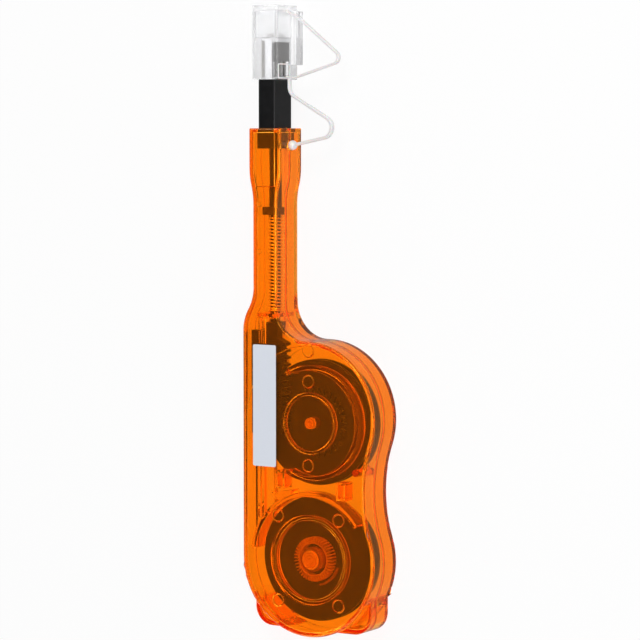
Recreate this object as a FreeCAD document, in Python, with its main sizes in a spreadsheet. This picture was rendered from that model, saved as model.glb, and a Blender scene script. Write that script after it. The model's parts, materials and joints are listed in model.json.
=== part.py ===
"""One-push cleaning pen for multi-fibre connectors: a clear two-part housing over two tape reels.

Frame, in millimetres: the pen lies on its back.  +X is to the right seen from the front, +Y runs along
the pen towards the nozzle and +Z goes from the back face (Z = 0) to the front face.  The origin is on
the back face, on the axis of the supply reel.
"""

import FreeCAD, Part
import math
import os
import re

from FreeCAD import Placement, Rotation, Vector

SIZES = {
    # housing
    "thickness": 16.0, "wall": 1.5, "split_z": 8.0, "edge_r": 1.1, "back_edge_r": 0.6,
    "reel_pitch": 48.8, "bulge_y": 50.5, "bulge_r": 27.4, "waist_r": 52.5, "shoulder_r": 12.7, "shoulder_start": 81.2,
    "neck_in": 8.9, "neck_w": 10.1, "neck_step": 0.8, "neck_start": 96.0, "neck_top": 153.0,
    "flare_start": 126.0, "flare_end": 139.0, "flare_w": 13.4, "flare_wall": 0.8,
    "foot_in": 3.3, "foot_up": 2.1, "foot_r": 6.8, "foot_step": 3.8,
    "lip_h": 0.8, "lip_w": 0.6, "fit": 0.05, "gap": 0.3,
    # ribs of the two shells
    "rib_low": 9.2, "take_ring_r": 9.95, "take_ring_w": 1.0, "guard_r": 19.0, "guard_w": 1.45,
    "ring_low": 11.8, "ring_step": 0.6,
    "guard_open": 63.0, "supply_ring_r": 14.2, "supply_ring_w": 1.8, "supply_lip_w": 0.8, "chamber_w": 1.5,
    "dimple_r": 0.9, "mark_r": 2.4, "mark_w": 0.35, "mark_h": 0.4, "mark_off": 14.9, "mark_top": 26.0,
    "mark_x": 12.6, "mark_y": 15.2, "rail_w": 0.9, "rail_gap": 0.75, "rail_low_y": 14.0, "rail_top_y": 86.0,
    "ledge_w": 2.2, "latch_x": 13.4, "latch_y": 25.4, "latch_w": 3.6, "latch_l": 6.4,
    "latch_wall": 0.7, "band_l": 6.4, "tie_r": 1.3,
    # reels
    "flange_r": 22.4, "flange_t": 1.0, "back_flange_t": 0.8, "tape_w": 2.4, "reel_z": 4.4,
    "take_pin_r": 2.1, "take_pin_z": 12.7, "take_hub_r": 5.5, "take_tape_r": 8.4,
    "supply_pin_r": 3.5, "supply_pin_z": 13.2, "supply_hub_r": 8.5, "supply_tape_r": 18.0,
    "bearing_w": 1.6, "tape_t": 0.25, "tape_gap": 0.1, "tape_off": 2.6, "tape_slot": 1.1,
    # rack and gear
    "gear_module": 0.8, "gear_teeth": 29, "backlash": 0.16, "gear_t": 1.2,
    "crown_in": 5.6, "crown_out": 8.0, "crown_t": 3.4, "crown_ridge": 0.4, "crown_teeth": 36,
    "boss_w": 0.9, "arm_w": 0.75, "arm_t": 1.2, "arm_r": 9.3,
    # plunger
    "carriage_t": 3.4, "carriage_low_y": 44.0, "carriage_top_y": 83.8, "carriage_drop": 2.8,
    "carriage_split_x": -19.4, "carriage_right": -14.3, "rack_low_y": 46.0, "rack_top_y": 76.0, "stroke": 12.0,
    "plate_z": 10.5, "head_bar_w": 3.0, "head_bar_l": 5.0, "rod_z": 8.0, "rod_r": 1.25, "stem_r": 1.7,
    "collar_y": 122.2, "collar_l": 2.8, "collar_t": 6.6,
    "spring_low_y": 87.0, "spring_r": 1.75, "wire": 0.5, "spring_coils": 29,
    "nozzle_w": 6.8, "nozzle_d": 11.2, "nozzle_wall": 1.0, "nozzle_root": 145.8, "nozzle_end": 170.4,
    "base_rim": 0.25, "base_l": 5.6,
    "guide_w": 4.2, "guide_d": 8.8, "guide_end": 184.6,
    "head_w": 2.6, "head_d": 6.6, "head_end": 186.6,
    # guide cap and straps
    "cap_w": 10.1, "cap_d": 13.6, "cap_low": 170.6, "cap_top": 197.0, "cap_web_y": 185.2,
    "socket_w": 7.9, "socket_d": 12.0, "lid_t": 2.0, "plug_l": 1.5, "plug_wall": 1.0,
    "cap_r": 0.8, "window_w": 3.4, "window_l": 5.0, "window_z": 1.4, "pad_t": 1.0, "pad_w": 4.6, "pad_low": 175.5,
    "strap_t": 1.1, "strap_w": 2.2, "loop_x": 26.8, "loop_y": 177.5, "strap_x1": 14.7, "strap_x2": 20.9,
    "strap_x3": 24.2, "strap_y1": 148.0, "strap_y2": 149.6, "strap_y3": 152.9, "strap_y4": 157.0, "strap_y5": 160.8,
    "strap_y6": 166.2, "strap_end": 6.0, "button_r": 1.6, "button_y": 146.6, "button_head_r": 2.3,
    "button_head_t": 0.8,
    # label
    "label_left": -22.75, "label_w": 9.7, "label_low": 32.6, "label_l": 43.5, "label_r": 0.6,
    "label_t": 0.12,
}
DERIVED = {"neck_x": "neck_in - bulge_r", "foot_w": "2 * (bulge_r - foot_in)", "foot_low": "bulge_r - foot_up"}

DOC = FreeCAD.newDocument("cleaning_pen")
SHEET = DOC.addObject("Spreadsheet::Sheet", "dims")
for row, (alias, size) in enumerate({**SIZES, **DERIVED}.items(), start=1):
    SHEET.set(f"A{row}", alias)
    SHEET.set(f"B{row}", f"={size}" if alias in DERIVED else str(size))
    SHEET.setAlias(f"B{row}", alias)
DOC.recompute()

dims = SHEET
NAMES = {*SIZES, *DERIVED}
Z_AXIS = Vector(0, 0, 1)


def linked(formula):
    """A formula of aliases, with each alias pointing at the sheet."""
    return re.sub(r"[a-z]\w*", lambda m: "dims." + m.group() if m.group() in NAMES else m.group(), formula)


def bind(obj, **formulas):
    """Tie properties to the sheet; a double underscore stands for a dot."""
    for name, formula in formulas.items():
        obj.setExpression(name.replace("__", "."), linked(formula))
    return obj


# ---------------------------------------------------------------- primitives and booleans
def place(obj, at):
    return bind(obj, Placement__Base__x=at[0], Placement__Base__y=at[1], Placement__Base__z=at[2])


def box(at, lengths):
    """Box with its low corner at one point."""
    obj = DOC.addObject("Part::Box", "Box")
    bind(obj, Length=lengths[0], Width=lengths[1], Height=lengths[2])
    return place(obj, at)


def centred(x, z, low_y, wide, deep, length):
    """Box along Y, centred on x and z."""
    return box((f"{x} - ({wide}) / 2", low_y, f"{z} - ({deep}) / 2"), (wide, length, deep))


def cylinder(at, radius, height, along="Z"):
    obj = DOC.addObject("Part::Cylinder", "Cylinder")
    if along == "Y":
        obj.Placement = Placement(Vector(), Rotation(Vector(1, 0, 0), -90))
    if along == "X":
        obj.Placement = Placement(Vector(), Rotation(Vector(0, 1, 0), 90))
    bind(obj, Radius=radius, Height=height)
    return place(obj, at)


def fuse(*shapes, name="Fuse"):
    if len(shapes) == 1:
        shapes[0].Label = name
        return shapes[0]
    obj = DOC.addObject("Part::MultiFuse", "Fuse")
    obj.Shapes, obj.Refine, obj.Label = list(shapes), True, name
    return obj


def cut(base, *tools, name="Cut"):
    obj = DOC.addObject("Part::Cut", "Cut")
    obj.Base, obj.Tool, obj.Refine, obj.Label = base, fuse(*tools, name="Tool"), True, name
    return obj


def ring(x, y, low, inner, outer, height, name="Ring"):
    """Flat ring about an axis along Z."""
    return cut(cylinder((x, y, low), outer, height),
               cylinder((x, y, f"{low} - 1"), inner, f"{height} + 2"), name=name)


def rounded(base, radius, picks, name="Fillet"):
    """Fillet of the edges that picks accepts."""
    radius = getattr(dims, radius) if isinstance(radius, str) else radius
    DOC.recompute()
    obj = DOC.addObject("Part::Fillet", "Fillet")
    obj.Base, obj.Label = base, name
    obj.Edges = [(i, radius, radius) for i, e in enumerate(base.Shape.Edges, start=1) if picks(e)]
    return obj


# ---------------------------------------------------------------- bodies with sketches
def new_body(name):
    return DOC.addObject("PartDesign::Body", name)


def sketch(body, geometry, plane="XY_Plane", offset="0 mm"):
    """Sketch on an origin plane of its own body, raised along the normal."""
    obj = body.newObject("Sketcher::SketchObject", "Sketch")
    flat = next(f for f in body.Origin.OriginFeatures if f.Role == plane)
    obj.AttachmentSupport, obj.MapMode = [(flat, "")], "FlatFace"
    obj.setExpression("AttachmentOffset.Base.z", linked(offset))
    obj.addGeometry(geometry, False)
    return obj


def pad(body, geometry, low, length, plane="XY_Plane"):
    """Add material from a height upwards."""
    obj = body.newObject("PartDesign::Pad", "Pad")
    obj.Profile = sketch(body, geometry, plane, low)
    return bind(obj, Length=length)


def pocket(body, geometry, top, depth, plane="XY_Plane"):
    """Remove material from a height downwards."""
    obj = body.newObject("PartDesign::Pocket", "Pocket")
    obj.Profile = sketch(body, geometry, plane, top)
    return bind(obj, Length=depth)


def line(p, q):
    return Part.LineSegment(Vector(*p), Vector(*q))


def polygon(points):
    return [line((*p, 0), (*q, 0)) for p, q in zip(points, points[1:] + points[:1])]


def rectangle(x0, y0, x1, y1):
    return polygon([(x0, y0), (x1, y0), (x1, y1), (x0, y1)])


def circle(x, y, radius):
    return Part.Circle(Vector(x, y, 0), Z_AXIS, radius)


def arc(centre, radius, start, end):
    """Arc counterclockwise between two angles in radians."""
    return Part.ArcOfCircle(circle(*centre, radius), start, end)


def bend(centre, p, q):
    """The shorter arc about a centre between two points."""
    a = math.atan2(p[1] - centre[1], p[0] - centre[0])
    b = math.atan2(q[1] - centre[1], q[0] - centre[0])
    if (b - a) % math.tau > math.pi:
        a, b = b, a
    return arc(centre, math.dist(centre, p), a, a + (b - a) % math.tau)


def slot_arc(centre, radius, width, start, end):
    """Outline of a bent bar with round ends; angles in degrees."""
    a, b = math.radians(start), math.radians(end)
    low, high = radius - width / 2, radius + width / 2

    def at(r, t):
        return centre[0] + r * math.cos(t), centre[1] + r * math.sin(t)

    return [arc(centre, low, a, b), arc(centre, high, a, b),
            arc(at(radius, b), width / 2, b, b + math.pi),
            arc(at(radius, a), width / 2, a + math.pi, a + math.tau)]


def ogee(x0, y0, x1, y1, inset, start_centre_right):
    """S-curve between two upright lines, moved inwards by the inset without changing its centres."""
    dx, dy = abs(x1 - x0), y1 - y0
    radius = (dx * dx + dy * dy) / (4 * dx)
    side = 1 if start_centre_right else -1
    first = (x0 + side * radius, y0)
    second = (x1 - side * radius, y1)
    grow = -side * inset if x0 < dims.neck_x else side * inset
    share = (radius + grow) / (2 * radius)
    middle = (first[0] + (second[0] - first[0]) * share, first[1] + (second[1] - first[1]) * share)
    starts = (first[0] - side * (radius + grow), y0)
    ends = (second[0] + side * (radius - grow), y1)
    return [bend(first, starts, middle), bend(second, middle, ends)]


# ---------------------------------------------------------------- the housing's outline
def reel_point(centre, radius, toward):
    """Point of a circle in the direction of another point."""
    reach = math.dist(centre, toward)
    return tuple(c + (t - c) * radius / reach for c, t in zip(centre, toward))


SUPPLY, TAKE, BULGE = (0.0, 0.0), (0.0, dims.reel_pitch), (0.0, dims.bulge_y)
WAIST = (math.sqrt((dims.bulge_r + dims.waist_r) ** 2 - dims.bulge_y ** 2 / 4), dims.bulge_y / 2)
LEFT = -dims.bulge_r
NECK_LEFT, NECK_RIGHT = dims.neck_x - dims.neck_w / 2, dims.neck_x + dims.neck_w / 2
FLARE_LEFT, FLARE_RIGHT = dims.neck_x - dims.flare_w / 2, dims.neck_x + dims.flare_w / 2
SHOULDER_X = NECK_RIGHT + dims.shoulder_r
SHOULDER = (SHOULDER_X, dims.bulge_y + math.sqrt((dims.bulge_r + dims.shoulder_r) ** 2 - SHOULDER_X ** 2))


def right_side(inset):
    """From the top of the take-up bulge down over the waist and round the supply bulge to the left."""
    radius, waist = dims.bulge_r - inset, dims.waist_r + inset
    upper, lower = (reel_point(c, radius, WAIST) for c in (BULGE, SUPPLY))
    low_angle = math.atan2(lower[1], lower[0])
    return upper, [arc(WAIST, waist, math.atan2(upper[1] - WAIST[1], upper[0] - WAIST[0]),
                       math.tau + math.atan2(lower[1] - WAIST[1], lower[0] - WAIST[0])),
                   arc(SUPPLY, radius, -math.pi, low_angle)]


def outline(inset, top):
    """Closed outline of the whole housing, with the neck ending at a height."""
    radius = dims.bulge_r - inset
    upper, edges = right_side(inset)
    neck = reel_point(BULGE, radius, SHOULDER)
    shoulder_top = (NECK_RIGHT - inset, SHOULDER[1])
    edges += [bend(BULGE, upper, neck), bend(SHOULDER, neck, shoulder_top)]
    edges += [line((*shoulder_top, 0), (NECK_RIGHT - inset, dims.flare_start, 0))]
    edges += ogee(NECK_RIGHT, dims.flare_start, FLARE_RIGHT, dims.flare_end, inset, True)
    edges += polygon([(FLARE_RIGHT - inset, dims.flare_end), (FLARE_RIGHT - inset, top),
                      (FLARE_LEFT + inset, top), (FLARE_LEFT + inset, dims.flare_end)])[:3]
    edges += ogee(NECK_LEFT, dims.flare_start, FLARE_LEFT, dims.flare_end, inset, False)
    edges += [line((NECK_LEFT + inset, dims.flare_start, 0), (NECK_LEFT + inset, dims.neck_start, 0))]
    edges += ogee(LEFT, dims.shoulder_start, NECK_LEFT, dims.neck_start, inset, True)
    edges += [line((LEFT + inset, dims.shoulder_start, 0), (LEFT + inset, 0, 0))]
    return edges


def reel_room(inset):
    """Closed outline of the body's deep part, without the neck."""
    radius = dims.bulge_r - inset
    upper, edges = right_side(inset)
    return edges + [arc(BULGE, radius, math.atan2(upper[1] - BULGE[1], upper[0]), math.pi),
                    line((LEFT + inset, dims.bulge_y, 0), (LEFT + inset, 0, 0))]


def foot():
    """Rounded square foot round the supply bulge."""
    half, low, r = dims.foot_w / 2, -dims.foot_low, dims.foot_r
    return [line((-half, 0, 0), (-half, low + r, 0)), arc((r - half, low + r), r, math.pi, 1.5 * math.pi),
            line((r - half, low, 0), (half - r, low, 0)), arc((half - r, low + r), r, -math.pi / 2, 0),
            line((half, low + r, 0), (half, 0, 0)), line((half, 0, 0), (-half, 0, 0))]


def foot_corner(side):
    """Hollow between the supply bulge and one corner of the foot."""
    half, low = dims.foot_w / 2 - dims.wall, dims.wall - dims.foot_low
    r = dims.foot_r - dims.wall
    drop, reach = (-math.sqrt(dims.bulge_r ** 2 - v * v) for v in (half, low))
    p, q, s, t = (half, drop), (half, low + r), (half - r, low), (-reach, low)
    p, q, s, t = ((side * x, y) for x, y in (p, q, s, t))
    centre = (side * (half - r), low + r)
    return [line((*p, 0), (*q, 0)), bend(centre, q, s), line((*s, 0), (*t, 0)), bend(SUPPLY, p, t)]


# ---------------------------------------------------------------- housing
MID_Z = "(thickness / 2)"
ROOF = "(thickness - wall)"
CARRIAGE_LOW, CARRIAGE_TOP = "(plate_z - carriage_t / 2)", "(plate_z + carriage_t / 2)"
TAPE_LOW = "(reel_z + back_flange_t)"
FLANGE_LOW = f"({TAPE_LOW} + tape_w)"
GEAR_LOW = f"({FLANGE_LOW} + flange_t)"
BASE_HALF = dims.nozzle_w / 2 + dims.base_rim
TIP_HALF = dims.nozzle_w / 2 + dims.fit * 2
ROOM_LOW = dims.nozzle_root - dims.stroke - dims.wall
CHAMBER_R = dims.flange_r + dims.gap + dims.chamber_w / 2


def relief(body, flat, step, far):
    """Slope the faces of the neck down from the reel housing's, by a cut across the whole width."""
    start = dims.shoulder_start + dims.wall
    points = [(start, flat), (dims.neck_start, step), (dims.neck_top + 1, step), (dims.neck_top + 1, far),
              (start, far)]
    obj = pocket(body, polygon(points), "bulge_r + 1", "2 * bulge_r + 2", "YZ_Plane")
    DOC.recompute()
    return obj


def soften(body, feature, radius, level):
    """Fillet the outline's edges of one face."""
    edges = [f"Edge{i}" for i, e in enumerate(feature.Shape.Edges, start=1)
             if all(level(v.Point) for v in e.Vertexes) and (e.Length > 3 or not e.Curve.TypeId.endswith("Line"))
             and not crosses(e)]
    obj = body.newObject("PartDesign::Fillet", "Fillet")
    obj.Base = (feature, edges)
    return bind(obj, Radius=radius)


def crosses(edge):
    """True for a straight edge that runs across the neck, where the slope starts or ends."""
    p, q = edge.Vertexes[0].Point, edge.Vertexes[-1].Point
    return abs(p.y - q.y) < 1e-6 and p.y < dims.neck_top - 1 and edge.Curve.TypeId.endswith("Line")


def openings(body, floor, height):
    """Room for the nozzle's base, the nozzle's way out at the top and the strap's hole in the side."""
    x, top = dims.neck_x, dims.neck_top
    pocket(body, rectangle(x - BASE_HALF - dims.gap, ROOM_LOW, x + BASE_HALF + dims.gap, top - dims.wall),
           floor[0], floor[1])
    pocket(body, rectangle(x - TIP_HALF, top - dims.wall - 1, x + TIP_HALF, top + 1), height[0], height[1])
    pocket(body, [circle(dims.button_y, dims.thickness / 2, dims.button_r + dims.fit)],
           "neck_x + flare_w / 2 + 1", "wall + 2", "YZ_Plane")


def front_shell():
    body = new_body("front_shell")
    pad(body, outline(0, dims.neck_top), "split_z", "thickness - split_z")
    pad(body, foot(), "split_z", "thickness - split_z - foot_step")
    front = relief(body, dims.thickness, dims.thickness - dims.neck_step, dims.thickness + 1)
    soften(body, front, "edge_r", lambda p: p.z > dims.thickness - dims.neck_step - 1e-3)
    pocket(body, outline(dims.wall, dims.neck_top - dims.wall), "thickness - neck_step - wall",
           "thickness - neck_step - wall - split_z")
    pocket(body, reel_room(dims.wall), ROOF, f"{ROOF} - split_z")
    pocket(body, foot_corner(-1) + foot_corner(1), "thickness - foot_step - wall",
           "thickness - foot_step - wall - split_z")
    pocket(body, outline(dims.wall - dims.lip_w - dims.fit, dims.neck_top - dims.wall + dims.lip_w + dims.fit),
           "split_z + lip_h + fit", "lip_h + fit")
    openings(body, ("thickness - neck_step - flare_wall", "thickness - neck_step - flare_wall - split_z"),
             (f"{MID_Z} + nozzle_d / 2 + 2 * fit", f"{MID_Z} + nozzle_d / 2 + 2 * fit - split_z"))
    take_r, guard, supply_r = dims.take_ring_r, dims.guard_r + dims.guard_w / 2, dims.supply_ring_r
    open_half = dims.guard_open
    half_w, half_l, t = dims.latch_w / 2, dims.latch_l / 2, dims.latch_wall
    x, y = dims.latch_x, dims.latch_y
    pad(body, [circle(*TAKE, take_r), circle(*TAKE, take_r + dims.take_ring_w)],
        f"{CARRIAGE_TOP} + gap", f"{ROOF} - {CARRIAGE_TOP} - gap")
    pad(body, [circle(*SUPPLY, supply_r), circle(*SUPPLY, supply_r + dims.supply_ring_w)],
        "ring_low", f"{ROOF} - ring_low")
    pad(body, [circle(*SUPPLY, supply_r), circle(*SUPPLY, supply_r + dims.supply_lip_w)],
        "ring_low - ring_step", "ring_step + wall / 2")
    band_left, band_top = NECK_RIGHT - dims.gap, dims.carriage_low_y - dims.stroke - 2 * dims.gap
    band_low, chamber = band_top - dims.band_l, CHAMBER_R + dims.chamber_w / 2
    pad(body, slot_arc(TAKE, guard, dims.guard_w, open_half - 180, 180 - open_half)
        + rectangle(band_left, band_low, band_left + half_w * 2, band_top)
        + rectangle(band_left + t, band_low + t, band_left + half_w * 2 - t, band_top - t)
        + polygon([(-0.64 * chamber, 0.96 * chamber), (-0.3 * chamber, band_low - dims.gap),
                   (-0.3 * chamber, 0.94 * chamber), (-0.56 * chamber, 0.87 * chamber)])
        + rectangle(x - half_w, y - half_l, x + half_w, y + half_l)
        + rectangle(x - half_w + t, y - half_l + t, x + half_w - t, y + half_l - t),
        "rib_low", f"{ROOF} - rib_low")
    pad(body, slot_arc(SUPPLY, CHAMBER_R, dims.chamber_w, 36, 172), "split_z", f"{ROOF} - split_z")
    left = NECK_LEFT + dims.wall + dims.rail_gap
    step = dims.rail_w + dims.rail_gap
    pad(body, [e for i in (0, 1) for e in rectangle(left + i * step, dims.rail_low_y,
                                                    left + i * step + dims.rail_w, dims.rail_top_y)],
        f"{CARRIAGE_TOP} + gap", f"{ROOF} - {CARRIAGE_TOP} - gap")
    seat = dims.spring_low_y
    reach = dims.neck_w / 2 - dims.wall - dims.fit
    pad(body, rectangle(dims.neck_x - reach, seat - dims.wall, dims.neck_x + reach, seat), "split_z",
        "thickness - neck_step - wall - split_z")
    pocket(body, [circle(dims.neck_x, dims.rod_z, dims.rod_r + 2 * dims.fit)], "-(spring_low_y - wall - 1)",
           "wall + 2", "XZ_Plane")
    marks = [(0, dims.reel_pitch + up) for up in (dims.mark_off, -dims.mark_off, dims.mark_top)]
    marks += [(i * dims.mark_x, j * dims.mark_y) for i in (-1, 1) for j in (-1, 1)]
    pocket(body, [circle(px, py, r) for px, py in marks for r in (dims.mark_r, dims.mark_r - dims.mark_w)],
           f"{ROOF} + mark_h", "mark_h")
    dimple_x = NECK_LEFT + dims.wall + dims.dimple_r
    pocket(body, [circle(dimple_x, dims.flare_start - up, dims.dimple_r) for up in (dims.fit, dims.collar_l * 6)],
           "thickness - neck_step - wall + mark_h", "mark_h")
    return body


def tape_slot(side, low_y, high_y):
    """Outline of the way for one run of tape beside the rod."""
    middle = dims.neck_x + side * dims.tape_off
    return rectangle(middle - dims.tape_slot / 2, low_y, middle + dims.tape_slot / 2, high_y)


def back_shell():
    body = new_body("back_shell")
    pad(body, outline(0, dims.neck_top), "0 mm", "split_z")
    pad(body, foot(), "0 mm", "split_z")
    back = relief(body, 0, dims.neck_step, -1)
    soften(body, back, "back_edge_r", lambda p: p.z < dims.neck_step + 1e-3)
    lip = dims.wall - dims.lip_w
    pad(body, outline(lip, dims.neck_top - lip), "split_z - wall", "wall + lip_h")
    high = "split_z + lip_h"
    pocket(body, outline(dims.wall, dims.neck_top - dims.wall), high, f"{high} - neck_step - wall")
    pocket(body, reel_room(dims.wall), high, f"{high} - wall")
    pocket(body, foot_corner(-1) + foot_corner(1), "split_z", "split_z - wall")
    openings(body, (high, f"{high} - neck_step - flare_wall"), (high, f"{high} - {MID_Z} + nozzle_d / 2 + 2 * fit"))
    x, seat, reach = dims.neck_x, dims.spring_low_y, dims.neck_w / 2 - dims.wall - dims.fit
    pad(body, rectangle(x - reach, seat - dims.wall, x + reach, seat), "wall", "split_z - wall")
    pocket(body, [circle(x, dims.rod_z, dims.rod_r + 2 * dims.fit)], "-(spring_low_y - wall - 1)", "wall + 2",
           "XZ_Plane")
    pocket(body, [e for side in (-1, 1) for e in tape_slot(side, seat - dims.wall - 1, seat + 1)], "split_z",
           f"split_z - {TAPE_LOW} + gap")
    inner = LEFT + dims.wall
    pad(body, rectangle(inner - 0.5, dims.carriage_low_y - dims.stroke, inner + dims.ledge_w,
                        dims.shoulder_start - dims.wall), "wall", f"{CARRIAGE_LOW} - 2 * fit - wall")
    for centre, pin, top in ((TAKE, "take_pin_r", "take_pin_z"), (SUPPLY, "supply_pin_r", "supply_pin_z")):
        radius = getattr(dims, pin)
        pad(body, [circle(*centre, radius + dims.bearing_w)], "wall / 2", "reel_z - fit - wall / 2")
        pad(body, [circle(*centre, radius)], "wall / 2", f"{top} - wall / 2")
    return body


# ---------------------------------------------------------------- reels
def reel_piece(centre, bore, parts, name):
    """Coaxial discs with one bore; each disc is (low, radius, height)."""
    discs = [cylinder((centre[0], centre[1], low), radius, height) for low, radius, height in parts]
    hole = cylinder((centre[0], centre[1], "0 mm"), f"{bore} + fit", "thickness")
    return cut(fuse(*discs) if len(discs) > 1 else discs[0], hole, name=name)


def reels():
    take, supply = ("0 mm", "reel_pitch"), ("0 mm", "0 mm")
    made = []
    for centre, pin, hub, pack, name in ((take, "take_pin_r", "take_hub_r", "take_tape_r", "takeup"),
                                         (supply, "supply_pin_r", "supply_hub_r", "supply_tape_r", "supply")):
        made.append(reel_piece(centre, pin, [("reel_z", "flange_r", "back_flange_t"),
                                             ("reel_z", hub, "back_flange_t + tape_w")], f"{name}_spool"))
        made.append(reel_piece(centre, pin, [(FLANGE_LOW, "flange_r", "flange_t")], f"{name}_flange"))
        made.append(ring(*centre, f"{TAPE_LOW} + tape_gap", hub, pack, "tape_w - 2 * tape_gap", f"{name}_tape"))
    made.append(reel_piece(supply, "supply_pin_r", [(GEAR_LOW, "supply_pin_r + fit + boss_w", "crown_t + crown_ridge")],
                           "hub_collar"))
    return made


def drive_gear():
    """Spur gear on the take-up reel, with a tooth space towards the rack."""
    body = new_body("drive_gear")
    teeth, module = round(dims.gear_teeth), dims.gear_module
    pitch_r, alpha = module * teeth / 2, math.radians(20)
    base_r = pitch_r * math.cos(alpha)
    half = math.pi / (2 * teeth) - dims.backlash / (4 * pitch_r)

    def half_angle(r):
        beta = math.acos(min(1.0, base_r / r))
        return half + math.tan(alpha) - alpha - math.tan(beta) + beta

    root, tip = pitch_r - 1.25 * module, pitch_r + module
    points = []
    for i in range(teeth):
        middle = math.pi + math.tau * (i + 0.5) / teeth
        flank = [(r, half_angle(r)) for r in (root, pitch_r - 0.6 * module, pitch_r, tip)]
        for r, a in [(r, -a) for r, a in flank] + [(r, a) for r, a in reversed(flank)]:
            points.append((TAKE[0] + r * math.cos(middle + a), TAKE[1] + r * math.sin(middle + a)))
    pad(body, polygon(points) + [circle(*TAKE, dims.take_pin_r + dims.fit)], GEAR_LOW, "gear_t")
    return body


def detent():
    """Crown ring of radial ridges on the supply reel, with its bent spring arm."""
    crown = new_body("detent_ring")
    pad(crown, [circle(*SUPPLY, dims.crown_in), circle(*SUPPLY, dims.crown_out)], GEAR_LOW, "crown_t")
    half = 0.3 * math.tau * dims.crown_in / dims.crown_teeth
    ridge = pad(crown, rectangle(dims.crown_in + 0.1, -half, dims.crown_out - 0.1, half),
                f"{GEAR_LOW} + crown_t", "crown_ridge")
    crown.Tip = ridge
    DOC.recompute()
    pattern = crown.newObject("PartDesign::PolarPattern", "PolarPattern")
    pattern.Originals = [ridge]
    pattern.Axis = (next(f for f in crown.Origin.OriginFeatures if f.Role == "Z_Axis"), [""])
    pattern.Angle = 360
    bind(pattern, Occurrences="crown_teeth")
    crown.Tip = pattern
    arm = new_body("detent_arm")
    pad(arm, slot_arc(SUPPLY, dims.arm_r, dims.arm_w, -78, -18), GEAR_LOW, "arm_t")
    return [crown, arm]


# ---------------------------------------------------------------- plunger
def carriage():
    """Sliding plate with a rack on its right edge."""
    body = new_body("carriage")
    module = dims.gear_module
    line_x = -module * round(dims.gear_teeth) / 2
    pitch = math.pi * module
    root, tip = line_x - 1.25 * module, line_x + module
    slope = math.tan(math.radians(20))
    middle = pitch / 4 - dims.backlash / 4
    points = [(root, dims.carriage_low_y)]
    first = math.ceil((dims.rack_low_y - TAKE[1]) / pitch)
    last = math.floor((dims.rack_top_y - TAKE[1]) / pitch)
    for i in range(first, last + 1):
        y = TAKE[1] + i * pitch
        low, high = middle + (line_x - root) * slope, middle - (tip - line_x) * slope
        points += [(root, y - low), (tip, y - high), (tip, y + high), (root, y + low)]
    shelf = TAKE[1] + last * pitch + pitch / 2
    left, split = LEFT + dims.wall + dims.gap * 2, dims.carriage_split_x
    neck = dims.carriage_right
    points += [(root, shelf), (tip, shelf + module), (tip, shelf + 2 * module), (neck, shelf + 4 * module),
               (neck, dims.carriage_top_y), (split, dims.carriage_top_y),
               (split, dims.carriage_top_y - dims.carriage_drop), (left, dims.carriage_top_y - dims.carriage_drop),
               (left, dims.carriage_low_y)]
    pad(body, polygon(points), CARRIAGE_LOW, "carriage_t")
    half, high = dims.head_bar_w / 2, dims.carriage_top_y
    pad(body, rectangle(dims.neck_x - half, high - dims.head_bar_l, dims.neck_x + half, high), "rod_z - head_bar_w / 2",
        f"{CARRIAGE_LOW} - rod_z + head_bar_w / 2 + carriage_t / 2")
    return body


def plunger():
    seat_top = "(collar_y + collar_l)"
    rod = fuse(cylinder(("neck_x", "carriage_top_y", "rod_z"), "rod_r", f"{seat_top} - carriage_top_y", "Y"),
               cylinder(("neck_x", seat_top, "rod_z"), "stem_r", f"nozzle_root - ({seat_top})", "Y"),
               name="core_rod")
    seat = cut(centred("neck_x", "rod_z", "collar_y", "collar_t", "3 * stem_r", "collar_l"),
               cylinder(("neck_x", "collar_y - 1", "rod_z"), "rod_r + fit", "collar_l + 2", "Y"),
               *[box((f"neck_x + ({side} * (tape_off + tape_slot)) - 1.5 * tape_slot", "collar_y - 1",
                      f"{TAPE_LOW} - gap"), ("3 * tape_slot", "collar_l + 2", "tape_w + 2 * gap"))
                 for side in (-1, 1)],
               name="spring_seat")
    sleeve = cut(
        fuse(centred("neck_x", MID_Z, "nozzle_root", "nozzle_w", "nozzle_d", "nozzle_end - nozzle_root"),
             centred("neck_x", MID_Z, "nozzle_root", "nozzle_w + 2 * base_rim", "nozzle_d + 2 * base_rim",
                     "base_l")),
        centred("neck_x", MID_Z, "nozzle_root + 2 * nozzle_wall", "nozzle_w - 2 * nozzle_wall",
                "nozzle_d - 2 * nozzle_wall", "nozzle_end - nozzle_root"),
        name="nozzle_sleeve")
    guide = cut(centred("neck_x", MID_Z, "nozzle_root + 2 * nozzle_wall", "guide_w", "guide_d",
                        "guide_end - nozzle_root - 2 * nozzle_wall"),
                centred("neck_x", MID_Z, "nozzle_root + 4 * nozzle_wall", "head_w + 4 * fit",
                        "head_d + 4 * fit", "guide_end"),
                name="tip_guide")
    head = rounded(centred("neck_x", MID_Z, "nozzle_root + 4 * nozzle_wall", "head_w", "head_d",
                           "head_end - nozzle_root - 4 * nozzle_wall"), 0.45 * dims.head_w,
                   lambda e: e.Vertexes[0].Y > dims.guide_end and abs(e.Vertexes[0].Z - e.Vertexes[1].Z) > 1,
                   name="cleaning_head")
    return [rod, seat, sleeve, guide, head]


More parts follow.
